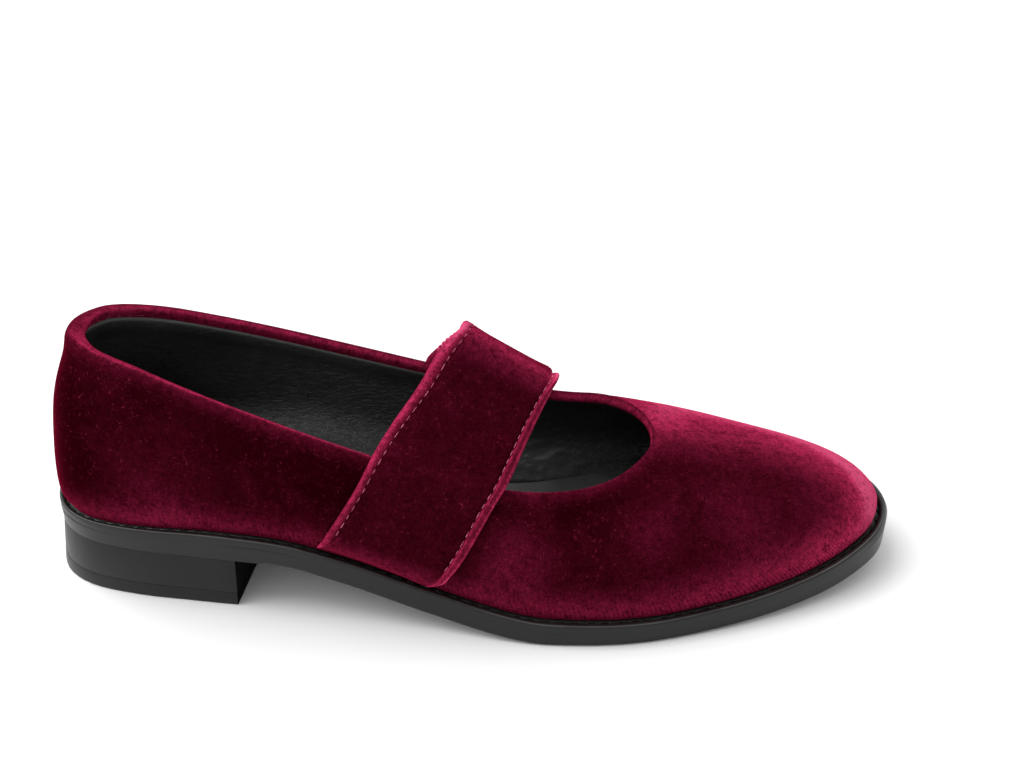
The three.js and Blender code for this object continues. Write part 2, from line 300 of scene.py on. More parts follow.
SOLE_CAP_SHARES = np.linspace(0, 0.985, 26)
SOLE_EDGE_TURNS = np.radians([0, 18, 36, 54, 72, 90])
SOLE_WALL_SHARES = [0.15, 0.35, 0.55, 0.75]
SOLE_WALL_INSET = 0.05
HEEL_FRONT = -60
HEEL_FRONT_RUN = 2
HEEL_SEAT_SHARP = 0.85
RAND_RISES = [-3.0, -2.6, -2.35, -2.2, -2.05, -1.8, -1.2]
RAND_RISE = -2.2
RAND_HALF = 0.14
RAND_DEPTH = 0.3
RAND_HEEL_REACH = 0.075
RAND_WAIST_AT = 0.175
RAND_WAIST_REACH = 0.02
RAND_WAIST_SHARE = 0.7
TOE_TIP_AT = 0.485
TOE_TIP_REACH = 0.04
RIM_TURNS = np.radians([0, 15, 30, 45, 55, 65, 75, 90, 110, 130, 150, 180])
RIM_TOP = 0.2
RIM_OUTER_DROP = 0.6
RIM_INNER_DROP = 0.5
RIM_TOE_INSET = 0.5
RIM_SHOULDER = 58
RIM_SHOULDER_WIDTH = 11
RIM_SIDE_WEAR_AND_HIGHLIGHT = 0.35
RIM_TOE_WEAR_AND_HIGHLIGHT = 0.45
RIM_TOE_REACH = 0.2
RIM_CROWN_PAINTED_REFLECTION = 0.07
LEDGE_RISE = -0.3
GROOVE_SHARE = 0.17
GROOVE_LEAST = 0.3
GROOVE_MOST = 0.62
GROOVE_GAP = 0.05
GROOVE_DEPTH = 0.45
GROOVE_PROFILE = [(-0.6, 0.7), (0, 1), (0.6, 0.7), (1, 0.2)]
UNDER_UPPER = 3
UNDER_UPPER_DROP = 0.1
FEATHER_TUCK = 0.5
COLLAR_TUCK = 1.1
COLLAR_REACH = 0.065

around_share = np.arange(FINE_AROUND) / FINE_AROUND
heel_near = np.minimum(around_share, 1 - around_share)
toe_near = np.abs(around_share - 0.5)
at_collar = bell(heel_near, COLLAR_REACH)
at_toe_tip = bell(around_share - TOE_TIP_AT, TOE_TIP_REACH, 4)
at_waist = bell(around_share - RAND_WAIST_AT, RAND_WAIST_REACH, 4)
at_rand = at_toe_tip + bell(heel_near, RAND_HEEL_REACH, 4) + RAND_WAIST_SHARE * at_waist

# The upper's rings run up its outer wall to the topline, and down its inner wall.
upper_rings = sole_rings("upper")
wall_rows = (len(upper_rings) - 1) // 2
rim_row = upper_rings[:, :, 2].mean(axis=1).argmax()
upper_rings = np.roll(upper_rings, wall_rows - rim_row, axis=0)
if np.ptp(upper_rings[0, :, 1]) < np.ptp(upper_rings[-1, :, 1]):
    upper_rings = upper_rings[::-1]
outer_wall = upper_rings[:wall_rows]
inner_wall = upper_rings[wall_rows + 1 :]

welt_rings = sole_rings("welt")
welt_outline = welt_rings[np.ptp(welt_rings[:, :, 1], axis=1).argmax()]
welt_top = height_along(welt_rings[welt_rings[:, :, 2].mean(axis=1).argmax()])
ledge_way = outer_wall[0] - welt_outline
ledge_way[:, 2] = 0
ledge = np.linalg.norm(ledge_way, axis=1)
welt_inward = ledge_way / ledge[:, None]
feather_tuck = FEATHER_TUCK + COLLAR_TUCK * at_collar
ledge = ledge + feather_tuck


def welt_ring(inset, rise):
    """A ring at an inset from the welt's outline and at a rise from its top."""
    ring = welt_outline + welt_inward * np.reshape(inset, (-1, 1))
    ring[:, 2] = welt_top(ring[:, 0]) + rise
    return ring


# The rows go from the middle of the underside out to the side, over the rim and in under the upper.
sole_bottom, sole_low = lowest_first(sole_rings("outsole"))[:2]
on_heel = rising(HEEL_FRONT - sole_low[:, 0], HEEL_FRONT_RUN)[:, None] * HEEL_SEAT_SHARP
sole_low, sole_bottom = (
    sole_low + (sole_bottom - sole_low) * on_heel * np.array([0, 0, 1]),
    sole_bottom + (sole_low - sole_bottom) * on_heel * np.array([1, 1, 0]),
)
sole_rows = list(cover(sole_bottom, SOLE_CAP_SHARES))
for turn in SOLE_EDGE_TURNS:
    row = sole_bottom + (sole_low - sole_bottom) * math.sin(turn)
    row[:, 2] = sole_low[:, 2] - (sole_low - sole_bottom)[:, 2] * math.cos(turn)
    sole_rows.append(row)
rand_foot = welt_ring(SOLE_WALL_INSET, RAND_RISES[0])
for share in SOLE_WALL_SHARES:
    sole_rows.append(sole_low + (rand_foot - sole_low) * share)
for rise in RAND_RISES:
    dip = RAND_DEPTH * bell(rise - RAND_RISE, RAND_HALF) * at_rand
    sole_rows.append(welt_ring(SOLE_WALL_INSET + dip, rise))
rim_start = len(sole_rows)
groove_half = np.clip(ledge * GROOVE_SHARE, GROOVE_LEAST, GROOVE_MOST)
rim_inset = SOLE_WALL_INSET + RIM_TOE_INSET * at_toe_tip
rim_half = (ledge - 2 * groove_half - 2 * GROOVE_GAP - rim_inset) / 2
for turn in RIM_TURNS:
    drop = RIM_OUTER_DROP if turn < math.pi / 2 else RIM_INNER_DROP
    inset = rim_inset + rim_half * (1 - math.cos(turn))
    sole_rows.append(welt_ring(inset, RIM_TOP - drop * (1 - math.sin(turn))))
seam_inset = ledge - groove_half - GROOVE_GAP
for step, depth in GROOVE_PROFILE:
    sole_rows.append(welt_ring(seam_inset + groove_half * step, LEDGE_RISE - GROOVE_DEPTH * depth))
under_upper = welt_ring(ledge + UNDER_UPPER, LEDGE_RISE - UNDER_UPPER_DROP)
sole_rows.append(under_upper)
sole_rows.extend(cover(under_upper, SOLE_CAP_SHARES[::-2]))
# The rim is paler at its shoulder, from wear and a painted highlight, strongest at the toe, and along
# its crown is a painted reflection.
rubbed_rows = np.zeros((len(sole_rows), FINE_AROUND))
rim_wear_and_highlight = RIM_SIDE_WEAR_AND_HIGHLIGHT + RIM_TOE_WEAR_AND_HIGHLIGHT * bell(toe_near, RIM_TOE_REACH)
for step, turn in enumerate(RIM_TURNS):
    at_shoulder = bell(math.degrees(turn) - RIM_SHOULDER, RIM_SHOULDER_WIDTH)
    rubbed_rows[rim_start + step] = at_shoulder * rim_wear_and_highlight + RIM_CROWN_PAINTED_REFLECTION * math.sin(turn)

sole_unit = shaped_grid("sole_unit", joined(np.array(sole_rows), 1), rubbed=joined(rubbed_rows, 1))
sole_unit.data.materials.append(rubber_finish("moulded_rubber", 0.36, 0.35))
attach(sole_unit, "root")
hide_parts("outsole", "welt")


# Heel: a stacked block under the heel seat and the top lift that meets the floor, both black rubber.
# The block is nailed to the sole unit and the lift to the block. Their edges are lightly broken, and
# the breast, the face towards the toe, is left matt.
HEEL_EDGE = 0.2
HEEL_EDGE_STEPS = 3
BREAST_BACK = -75
BREAST_TOP = 17.7
BREAST_LEAN = 0.07
BREAST_FACING = 0.6
HEEL_CLOSE = 0.27
HEEL_SHARP = math.radians(40)


def heel_piece(name, node, *materials):
    """A copy of a CAD node, closed up to what is above it, with its sharp edges rounded.
    The first material is the polished outside and the second the matt breast."""
    piece = bpy.data.objects.new(name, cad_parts[node].data.copy())
    bpy.context.scene.collection.objects.link(piece)
    bpy.ops.object.select_all(action="DESELECT")
    piece.select_set(True)
    bpy.context.view_layer.objects.active = piece
    bpy.ops.mesh.customdata_custom_splitnormals_clear()
    lowest = min(vertex.co.z for vertex in piece.data.vertices)
    for vertex in piece.data.vertices:
        if vertex.co.x > BREAST_BACK * MM:
            vertex.co.x += BREAST_LEAN * (BREAST_TOP * MM - vertex.co.z)
        if vertex.co.z > lowest + MM:
            vertex.co.z += HEEL_CLOSE * MM
    bpy.ops.object.mode_set(mode="EDIT")
    bpy.ops.mesh.select_all(action="SELECT")
    bpy.ops.mesh.remove_doubles(threshold=MERGE)
    bpy.ops.mesh.tris_convert_to_quads()
    bpy.ops.mesh.mark_sharp(clear=True)
    bpy.ops.mesh.select_mode(type="EDGE")
    bpy.ops.mesh.select_all(action="DESELECT")
    bpy.ops.mesh.edges_select_sharp(sharpness=HEEL_SHARP)
    bpy.ops.mesh.bevel(offset=HEEL_EDGE * MM, segments=HEEL_EDGE_STEPS, affect="EDGES")
    bpy.ops.object.mode_set(mode="OBJECT")
    bpy.ops.object.shade_smooth_by_angle(angle=HEEL_SHARP)
    piece.data.materials.clear()
    for material in materials:
        piece.data.materials.append(material)
    for face in piece.data.polygons:
        face.material_index = int(face.normal.x > BREAST_FACING)
    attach(piece, "root")
    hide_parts(node)


breast_rubber = rubber_finish("breast_rubber", 0.8, 0.04)
heel_piece("heel_stack", "heel_block", rubber_finish("heel_rubber", 0.42, 0.27), breast_rubber)
heel_piece("heel_tip", "heel_top_lift", rubber_finish("lift_rubber", 0.42), breast_rubber)


# Welt seam: waxed black thread in long stitches, which sews the upper to the sole unit.
# Each stitch is pulled down into the groove beside the upper, so that the row lies half sunk.
WELT_STITCH_PITCH = 4.3
WELT_STITCH_LENGTH = 3.3
WELT_STITCH_RADIUS = 0.42
WELT_STITCH_SEAT = 0.2
WAXED_DARK = (0.006, 0.006, 0.006, 1)
WAXED_LIGHT = (0.03, 0.03, 0.03, 1)
STITCH_FLAT = 0.8
STITCH_VARY = 0.2


def run_along(line):
    """The distance from the start of a line of points, or of each column of a grid."""
    steps = np.linalg.norm(np.diff(line, axis=0), axis=-1)
    return np.concatenate([np.zeros_like(steps[:1]), np.cumsum(steps, axis=0)])


def unit(ways):
    """Directions made one long."""
    return ways / np.linalg.norm(ways, axis=-1, keepdims=True)


def stitch_row(name, line, outward, pitch, length, radius, material):
    """Stitches along a line of points: one is shaped from a ball, and the others are its copies."""
    bpy.ops.object.select_all(action="DESELECT")
    bpy.ops.mesh.primitive_uv_sphere_add(segments=8, ring_count=6, radius=radius * MM)
    stitch = bpy.context.object
    stitch.name = name
    stitch.data.name = name
    bpy.ops.object.mode_set(mode="EDIT")
    bpy.ops.mesh.select_all(action="SELECT")
    bpy.ops.transform.resize(value=(length / (2 * radius), 1, STITCH_FLAT))
    bpy.ops.object.mode_set(mode="OBJECT")
    bpy.ops.object.shade_smooth()
    run = run_along(line)
    count = int(run[-1] // pitch)
    shape = stitch.data.copy()
    for k in range(count):
        middle = (k + 0.5) * run[-1] / count
        spot, back, ahead, out = (
            np.array([np.interp(where, run, values[:, axis]) for axis in range(3)])
            for where, values in (
                (middle, line),
                (middle - length / 2, line),
                (middle + length / 2, line),
                (middle, outward),
            )
        )
        along = unit(ahead - back)
        side = unit(np.cross(out, along))
        out = np.cross(along, side)
        turn = Matrix(np.column_stack([along, side, out]).tolist()).to_4x4()
        longer = 1 + STITCH_VARY * math.sin(2.4 * k)
        wider = 1 + STITCH_VARY * math.sin(1.7 * k)
        seat = Matrix.Translation(spot * MM) @ turn @ Matrix.Diagonal((longer, wider, 1, 1))
        if k == 0:
            stitch.data.transform(seat)
            continue
        copy = bpy.data.objects.new(name, shape.copy())
        copy.data.transform(seat)
        bpy.context.scene.collection.objects.link(copy)
        copy.select_set(True)
    bpy.ops.object.join()
    stitch.data.materials.append(material)
    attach(stitch, "root")


def thread_finish(name, dark, light, roughness):
    """Twisted thread: light and dark plies across the stitch."""
    finish = Finish(name, {"Specular IOR Level": 0.1})
    place = finish.place()
    ply = place.noise(2.2, 2, 0.6)
    finish.feeds(
        Base_Color=ply.between(0.35, 0.65).tint(dark, light),
        Roughness=ply * 0.2 + (roughness - 0.1),
    )
    finish.bumps((place.noise(5, 1, 0.5), 0.06))
    return finish.material


up_only = np.tile([0.0, 0.0, 1.0], (FINE_AROUND + 1, 1))
stitch_row(
    "welt_stitches",
    joined(welt_ring(seam_inset, LEDGE_RISE - GROOVE_DEPTH + WELT_STITCH_SEAT), 0),
    up_only,
    WELT_STITCH_PITCH,
    WELT_STITCH_LENGTH,
    WELT_STITCH_RADIUS,
    thread_finish("waxed_black_thread", WAXED_DARK, WAXED_LIGHT, 0.42),
)


# Sock: the thin black leather that lies on the insole board and closes the inside of the upper.
# It is glued down, dips a little under the foot and is paler at the ball, partly rubbed and partly
# painted light where the throat is open above it, fading under the vamp.
LEATHER_DARK = (0.009, 0.0092, 0.0092, 1)
SOCK_WORN = (0.045, 0.0455, 0.045, 1)
LEATHER_WEAR_AND_LIGHT = (0.3, 0.31, 0.305, 1)
SOCK_DISH = 0.6
SOCK_EDGE = 0.2
SOCK_RUB_AND_PAINTED_LIGHT = 0.24
SOCK_RUB_MIDDLE = 8
SOCK_RUB_REACH = 26
SOCK_CAP_SHARES = np.linspace(0.985, 0, 24)


def leather_finish(name, worn, roughness, wrinkle_depth):
    """Soft black lining leather: fine pores, and wrinkles drawn out along the foot.
    It is paler where its mark of rubbed wear and painted light rises to 1."""
    finish = Finish(name, {"Specular IOR Level": 0.5})
    place = finish.place()
    cloudy = place.noise(0.05, 3, 0.6)
    pores = place.noise(2.4, 3, 0.6)
    wrinkles = place.stretched(0.5, 1, 1).noise(0.75, 4, 0.62, 1.2)
    black = cloudy.between(0.3, 0.7).tint(LEATHER_DARK, worn)
    finish.feeds(
        Base_Color=finish.mark("rubbed").tint(black, LEATHER_WEAR_AND_LIGHT),
        Roughness=wrinkles * 0.2 + (roughness - 0.1),
    )
    finish.bumps((wrinkles, wrinkle_depth), (pores, 0.05))
    return finish.material


sock_low, sock_side, sock_top = lowest_first(sole_rings("insole"))
sock_middle = 0.5 * (sock_side + sock_top)
sock_middle[:, 2] = sock_top[:, 2] - SOCK_EDGE
sock_rows = list(cover(sock_low, SOCK_CAP_SHARES[::-2])) + [sock_low, sock_side, sock_middle]
for share, row in zip(SOCK_CAP_SHARES, cover(sock_top, SOCK_CAP_SHARES)):
    row[:, 2] -= SOCK_DISH * (1 - share**4)
    sock_rows.append(row)

sock_rows = np.array(sock_rows)
# Paler at the ball: rubbed wear, and painted light under the open throat that fades under the vamp.
ball_rub_and_painted_light = SOCK_RUB_AND_PAINTED_LIGHT * bell(sock_rows[:, :, 0] - SOCK_RUB_MIDDLE, SOCK_RUB_REACH)
sock = shaped_grid("sock", joined(sock_rows, 1), rubbed=joined(ball_rub_and_painted_light, 1))
sock.data.materials.append(leather_finish("sock_leather", SOCK_WORN, 0.42, 0.06))
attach(sock, "root")
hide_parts("insole")


# Lining: black leather inside the upper, from the sock up to the turned velvet at the topline.
# It is stitched in with the topline seam, is joined at the back of the heel, and pulls into long
# shallow wrinkles along the foot and fine creases at the ball. Its top edge and the crests of the
# creases carry a painted highlight.
LINING_WORN = (0.019, 0.0193, 0.0193, 1)
LINING_THICKNESS = 0.8
LINING_STEPS = 60
LINING_OVERLAP = 1.6
LINING_PAD = 0.6
LINING_EDGE = 0.4
LINING_EDGE_HIGHLIGHT = 0.4
FOLD_SIDE = 2.1
FOLD_HEEL = 3.9
FOLD_HEEL_REACH = 0.07
ROUND_FOOT = 640
HOLLOW = 12
HOLLOW_SHARE = 0.75
WRINKLE_DEPTH = 0.1
CREASE_DEPTH = 0.26
CREASE_MIDDLE = 20
CREASE_REACH = 15
CREASE_RISE = 4.5
HEEL_SEAM_STEP = 0.8
HEEL_SEAM_DIP = 0.5
THROAT_MIDDLE = 19
THROAT_REACH = 15
THROAT_SINK = 1.2
HEEL_SINK = 0.55
LINING_SINK_RUN = 12


def from_top(wall, distances):
    """Points down each column of a wall, at distances from its top, and the length of each column."""
    fine = smoothed(wall, np.linspace(0, len(wall) - 1, 8 * len(wall)))
    run = run_along(fine)
    found = np.empty((len(distances), *wall.shape[1:]))
    for column in range(wall.shape[1]):
        for axis in range(3):
            places = distances[:, column]
            found[:, column, axis] = np.interp(places, run[:, column], fine[:, column, axis])
    return found, run[-1]


def outward_of(grid, sign):
    """Unit normals of a grid that closes round the foot."""
    along = np.roll(grid, -1, axis=1) - np.roll(grid, 1, axis=1)
    return unit(sign * np.cross(along, np.gradient(grid, axis=0)))


def closed_tube(rows):
    """Rows closed round the foot, with the last row joined to the first."""
    return joined(joined(rows, 1), 0)


# The rows go down the inner wall from under the fold to the sock, and back up behind the leather.
lateral_side = rising(np.sin(2 * np.pi * around_share), 0.25)
at_throat = bell(outer_wall[-1, :, 0] - THROAT_MIDDLE, THROAT_REACH) * (outer_wall[-1, :, 1] > 0)
top_sink = THROAT_SINK * at_throat + HEEL_SINK * at_collar
fold_width = FOLD_SIDE + (FOLD_HEEL - FOLD_SIDE) * bell(heel_near, FOLD_HEEL_REACH)
inner_length = from_top(inner_wall, np.zeros((1, FINE_AROUND)))[1]
lining_top = fold_width - LINING_OVERLAP
lining_shares = np.linspace(0, 1, LINING_STEPS)[:, None] ** 1.5
lining_drop = lining_top + (inner_length - lining_top) * lining_shares
lining_face = from_top(inner_wall, lining_drop)[0]
lining_out = outward_of(lining_face, -1)
lining_x = lining_face[:, :, 0]
above_sock = lining_face[:, :, 2] - height_along(sock_top)(lining_x) + 1
hollow = fading(above_sock, HOLLOW)
hollow = HOLLOW * HOLLOW_SHARE * (1 - np.sqrt(1 - hollow**2)) * (1 - lateral_side)
round_run = around_share * ROUND_FOOT
wrinkle_bend = 1.3 * np.sin(round_run / 31)
wrinkles = WRINKLE_DEPTH * np.sin(lining_drop / 2.9 + wrinkle_bend) * np.sin(round_run / 43 + 0.6)
wrinkles = wrinkles * np.sin(np.pi * lining_shares) ** 0.7
crease_bend = 2.2 * np.sin(lining_x / 3.3 + above_sock / 2.4)
ball_creases = np.sin(above_sock / 0.55 + crease_bend + lining_x / 5)
at_ball = bell(lining_x - CREASE_MIDDLE, CREASE_REACH) * bell(above_sock - CREASE_RISE, CREASE_RISE)
at_ball = at_ball * (lining_face[:, :, 1] > 0)
wrinkles = wrinkles + CREASE_DEPTH * ball_creases * at_ball
lateral_run = np.where(around_share < 0.5, around_share, around_share - 1) * ROUND_FOOT
heel_seam = HEEL_SEAM_STEP * bell(lateral_run + 3, 1.2) - HEEL_SEAM_DIP * bell(lateral_run, 1.6)
lining_pad = LINING_PAD * bell(lining_drop - lining_top - 5, 3.2)
lining_pad = lining_pad + LINING_EDGE * bell(lining_drop - fold_width - 0.7, 0.55)
lining_face = lining_face - lining_out * (hollow + wrinkles + lining_pad - heel_seam)[:, :, None]
lining_face[:, :, 2] -= top_sink * fading(lining_drop, LINING_SINK_RUN)
lining_back = lining_face + lining_out * LINING_THICKNESS

# Painted highlights on the lining's top edge and on the crests of the ball creases, over slight wear at
# the ball.
lining_wear_and_highlight = LINING_EDGE_HIGHLIGHT * bell(lining_drop - fold_width - 0.8, 0.7)
lining_wear_and_highlight = lining_wear_and_highlight + at_ball * (0.05 + 0.3 * rising(ball_creases, 1) ** 3)
lining_rows = np.concatenate([lining_face, lining_back[::-1]])
lining_wear_and_highlight_rows = np.concatenate([lining_wear_and_highlight, np.zeros_like(lining_wear_and_highlight)])
lining = shaped_grid("lining", closed_tube(lining_rows), rubbed=closed_tube(lining_wear_and_highlight_rows))
lining.data.materials.append(leather_finish("lining_leather", LINING_WORN, 0.46, 0.5))
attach(lining, "root")


# Upper: one piece of burgundy velvet, lasted over the toe and tucked in at the welt.
# It is turned over the topline in a soft roll, stitched through, and ends in a narrow fold inside.
VELVET_THICKNESS = 0.9
ROLL_LEAN = 0.4
ROLL_DROP = 3.8
ROLL_INNER = 0.85
ROLL_RISE = 1.5
ROLL_LEAST_RISE = 0.3
ROLL_LATERAL_DROP = 1.1
ROLL_LATERAL_THIN = 0.45
ROLL_COLLAR_SHARE = 0.82
ROLL_TURNS = np.radians(np.linspace(8, 172, 13))
COLLAR_OUT = 0.9
COLLAR_IN = 1.9
COLLAR_SINK = 1.0
HEEL_BULGE = 1.1
NAP_WAVE = 0.1
TOP_SEAM = 4.3
TOP_SEAM_DEPTH = 0.14
TOP_SINK_RUN = 10
TOP_DROPS = np.array([0.7, 1.5, 2.3, 3, 3.5, 3.9, 4.3, 4.7, 5.1, 5.6, 6.4, 7.4])
WALL_STEPS = 44
TUCK_PROFILE = [(1.6, -0.3), (0.9, -0.35), (0.35, -0.25)]
FOLD_PROFILE = [
    (0.12, 0.85),
    (0.3, 0.82),
    (0.45, 0.68),
    (0.54, 0.5),
    (0.62, 0.28),
    (0.7, 0.46),
    (0.82, 0.52),
    (0.93, 0.42),
    (1.0, -0.25),
]
FOLD_LATERAL_THIN = 0.4
FOLD_BACK_SHARES = np.array([0.98, 0.6, 0.2])
FOLD_BACK_DEPTH = 0.6
FOLD_SEAM = 4
SHEEN_FACING = (0.66, 0.52, 0.54)
TOE_SHEEN_FACING = (0.86, 0.05, 0.5)
RIB_PITCH = 1.25

# Each trough has its middle, its length, width and depth, and its heading in radians.
VELVET_TROUGHS = [
    (62, 17, 38, 14, 5, 0.35, 0.5),
    (57, 20, 40, 9, 3.4, -0.35, 1.0),
    (30, -35, 30, 10, 6, 0.4, 0.3),
    (62, -18, 36, 13, 6, 0.3, -0.7),
    (-70, -27, 42, 22, 9, 0.3, 0.1),
    (-66, 27, 44, 22, 9, 0.35, -0.1),
    (-20, 31, 30, 18, 6, 0.35, 0.2),
]
# Each patch has its middle, its radius and how far the velvet is made lighter, partly as brushed-up
# pile and partly as painted light.
BRUSHED_AND_LIGHT_PATCHES = [
    (58, 12, 39, 9, 0.4),
    (80, -6, 30, 36, 0.08),
    (110, -8, 24, 13, 0.12),
    (13, -38, 24, 11, 0.2),
    (52, -33, 30, 9, 0.12),
    (78, -24, 28, 10, 0.1),
    (-92, -27, 30, 13, 0.1),
    (-90, -28, 46, 22, 0.06),
    (-60, 31, 34, 15, 0.12),
    (20, 40, 24, 15, 0.15),
]
PILE_AND_LIGHT_MOST = 1.5
FEATHER_NAP_AND_PAINTED_LIGHT = 0.32
TOE_FEATHER_NAP_AND_PAINTED_LIGHT = 0.2
TOPLINE_PAINTED_SHEEN = 0.14
TOE_CROWN_PAINTED_SHEEN = 1.75
TOE_FRONT_PAINTED_SHEEN = 0.65
TOE_BAND_NAP_AND_PAINTED_LIGHT = 0.8
HEEL_SHADE = 0.22
FOLD_LIFT = 0.5
ROLL_LIFT = 0.28
ROLL_CREST_PAINTED_SHEEN = 0.5
ROLL_CREST_TURN = 125
ROLL_CREST_WIDTH = 32
ROLL_EDGE_PAINTED_HIGHLIGHT = 0.6
ROLL_EDGE_TURN = 60
ROLL_EDGE_WIDTH = 30

VELVET_DEEP = (0.009, 0.0001, 0.0008, 1)
VELVET_MID = (0.05, 0.0006, 0.0055, 1)
VELVET_BRIGHT = (0.47, 0.025, 0.094, 1)
VELVET_PINK = (0.57, 0.07, 0.165, 1)
VELVET_LINT = (0.36, 0.034, 0.08, 1)
VELVET_SHEEN = (0.95, 0.027, 0.115, 1)


def velvet_finish(name):
    """Velvet: a deep ground, nap brushed into patches, short upright pile, lint, and a pink sheen.
    Where its pile and light mark rises to 1 the velvet is lighter and pinker with streaks: partly pile
    spread over an edge, partly painted sheen and painted highlight; below 0 it is painted shade.
    Fine ribs follow the mark rib_run, as strongly as the mark rib_show says."""
    finish = Finish(
        name,
        {
            "Sheen Weight": 0.32,
            "Sheen Roughness": 0.3,
            "Sheen Tint": VELVET_SHEEN,
            "Specular IOR Level": 0.0,
            "Roughness": 0.9,
        },
    )
    place = finish.place()
    patches = place.noise(0.033, 3, 0.62, 0.6)
    nap = place.noise(0.19, 4, 0.68, 0.7)
    pile = place.stretched(1, 1, 0.5).noise(2.4, 2, 0.7)
    streaks = place.stretched(1, 1, 0.12).noise(1.5, 3, 0.6)
    # The mark holds lifted pile together with painted sheen, painted highlight and painted shade.
    lift = finish.mark("pile_lift")
    brushed = (patches * 0.6 + nap * 0.4).between(0.42, 0.72)
    flakes = place.noise(0.9, 4, 0.7, 0.4).between(0.38, 0.58)
    clumps = place.noise(0.34, 3, 0.65, 0.5).between(0.36, 0.6)
    rib_turn = finish.mark("rib_run") * (2 * math.pi / RIB_PITCH)
    ribs = rib_turn.math("SINE", rib_turn, 0) * finish.mark("rib_show")
    ruffled = streaks.between(0.3, 0.72) * 0.24 + flakes * 0.42 + clumps * 0.36 + ribs * 0.3 + 0.22
    spread = lift * ruffled
    tips = lift.between(0.85, 1.6).tint(VELVET_BRIGHT, VELVET_PINK)
    lit = brushed * 0.06 + spread + lift.between(0.8, 1.5) * 0.22
    ground = (pile.between(0.2, 0.85) * 0.22 + lit * 0.75).tint(VELVET_DEEP, VELVET_MID)
    raised = (lit * (pile.between(0.35, 0.75) * 0.45 + 0.55)).tint(ground, tips)
    strands = place.noise(0.6, 2, 0.5, 0.9)
    off_strand = strands.math("ABSOLUTE", strands - 0.5, 0)
    fibres = (1 - off_strand.between(0.004, 0.024)) * place.noise(0.75, 2, 0.6).between(0.5, 0.64)
    flecks = place.node("ShaderNodeTexVoronoi", {}, {"Vector": place, "Scale": 0.3}, "Distance")
    shed = nap.between(0.4, 0.62) * 0.8 + patches.between(0.46, 0.66) * 0.5 + 0.2
    lint = (fibres * 0.25 + (1 - flecks.between(0.03, 0.09)) * 0.09) * shed
    finish.feeds(Base_Color=lint.tint(raised, VELVET_LINT))
    finish.bumps((patches, 0.35), (nap, 0.14), (pile, 0.05))
    return finish.material


# The rows go from the tuck at the welt up the outside, over the roll, down the fold and back inside.
outer_length = from_top(outer_wall[::-1], np.zeros((1, FINE_AROUND)))[1]
top_drops = np.tile(TOP_DROPS[:, None], (1, FINE_AROUND))
wall_shares = np.linspace(0, 1, WALL_STEPS + 1)[1:, None]
wall_drops = TOP_DROPS[-1] + (outer_length - TOP_DROPS[-1]) * wall_shares
drops = np.concatenate([top_drops, wall_drops])[::-1]
velvet_face = from_top(outer_wall[::-1], drops)[0]
velvet_out = outward_of(velvet_face, 1)
above_feather = outer_length - drops


def soft_trough(x, y, z, length, width, depth, heading):
    """A shallow trough on the velvet, or a ridge where depth is negative."""
    away = velvet_face - np.array([x, y, z])
    run = np.array([math.cos(heading), math.sin(heading), 0])
    along = away @ run
    across = np.linalg.norm(away - along[:, :, None] * run, axis=2)
    return -depth * np.exp(-((along / length) ** 2) - (across / width) ** 2)


def lighter_patch(x, y, z, radius, strength):
    """A lighter patch of velvet: brushed-up pile, and painted light."""
    away = np.linalg.norm(velvet_face - np.array([x, y, z]), axis=2)
    return strength * bell(away, radius)


velvet_x = velvet_face[:, :, 0]
roll_lean = -ROLL_LEAN * fading(drops, ROLL_DROP) ** 2
collar_pad = COLLAR_OUT * at_collar * bell(drops - 2, 4.5)
drawn_in = -feather_tuck * fading(above_feather, 4.5) ** 2
heel_bulge = HEEL_BULGE * bell(heel_near, 0.055) * bell(drops - 20, 13)
seam_dip = -TOP_SEAM_DEPTH * bell(drops - TOP_SEAM, 0.5)
nap_waves = NAP_WAVE * np.sin(velvet_x / 9 + 2 * np.sin(velvet_face[:, :, 2] / 13))
creases = sum(soft_trough(*trough) for trough in VELVET_TROUGHS)
# Painted sheen: the toe's crown and front are lighter where their surface faces the given directions.
toe_crown = rising(velvet_out @ np.array(SHEEN_FACING) - 0.56, 0.32) ** 1.6 * rising(velvet_x - 35, 25)
toe_crown = toe_crown * rising(0.88 - velvet_out[:, :, 1], 0.36)
toe_front = rising(velvet_out @ np.array(TOE_SHEEN_FACING) - 0.6, 0.32) ** 1.6 * rising(velvet_x - 92, 20)
toe_band = bell(toe_near, 0.1) * bell(above_feather, 12, 3)
toe_side = bell(toe_near, 0.14)
# Lighter velvet: the band above the welt is lifted pile and painted light from the floor, the topline
# and the toe carry painted sheen, the patches are partly brushed pile, and the back of the heel is
# darkened as painted shade.
pile_lift = (
    (FEATHER_NAP_AND_PAINTED_LIGHT + TOE_FEATHER_NAP_AND_PAINTED_LIGHT * toe_side) * bell(above_feather, 7 + 3 * toe_side)
    + TOPLINE_PAINTED_SHEEN * bell(drops, 3)
    + TOE_CROWN_PAINTED_SHEEN * toe_crown
    + TOE_FRONT_PAINTED_SHEEN * toe_front
    + TOE_BAND_NAP_AND_PAINTED_LIGHT * toe_band
    + sum(lighter_patch(*patch) for patch in BRUSHED_AND_LIGHT_PATCHES)
    - HEEL_SHADE * bell(heel_near, 0.05) * rising(drops, 12)
)
relief = roll_lean + collar_pad + drawn_in + heel_bulge + seam_dip
relief = relief + (nap_waves + creases) * rising(above_feather, 6)
velvet_face = velvet_face + velvet_out * relief[:, :, None]
velvet_face[:, :, 2] -= top_sink * fading(drops, TOP_SINK_RUN)

tuck = []
for inset, rise in TUCK_PROFILE:
    row = velvet_face[0] + welt_inward * inset
    row[:, 2] = welt_top(row[:, 0]) + rise
    tuck.append(row)

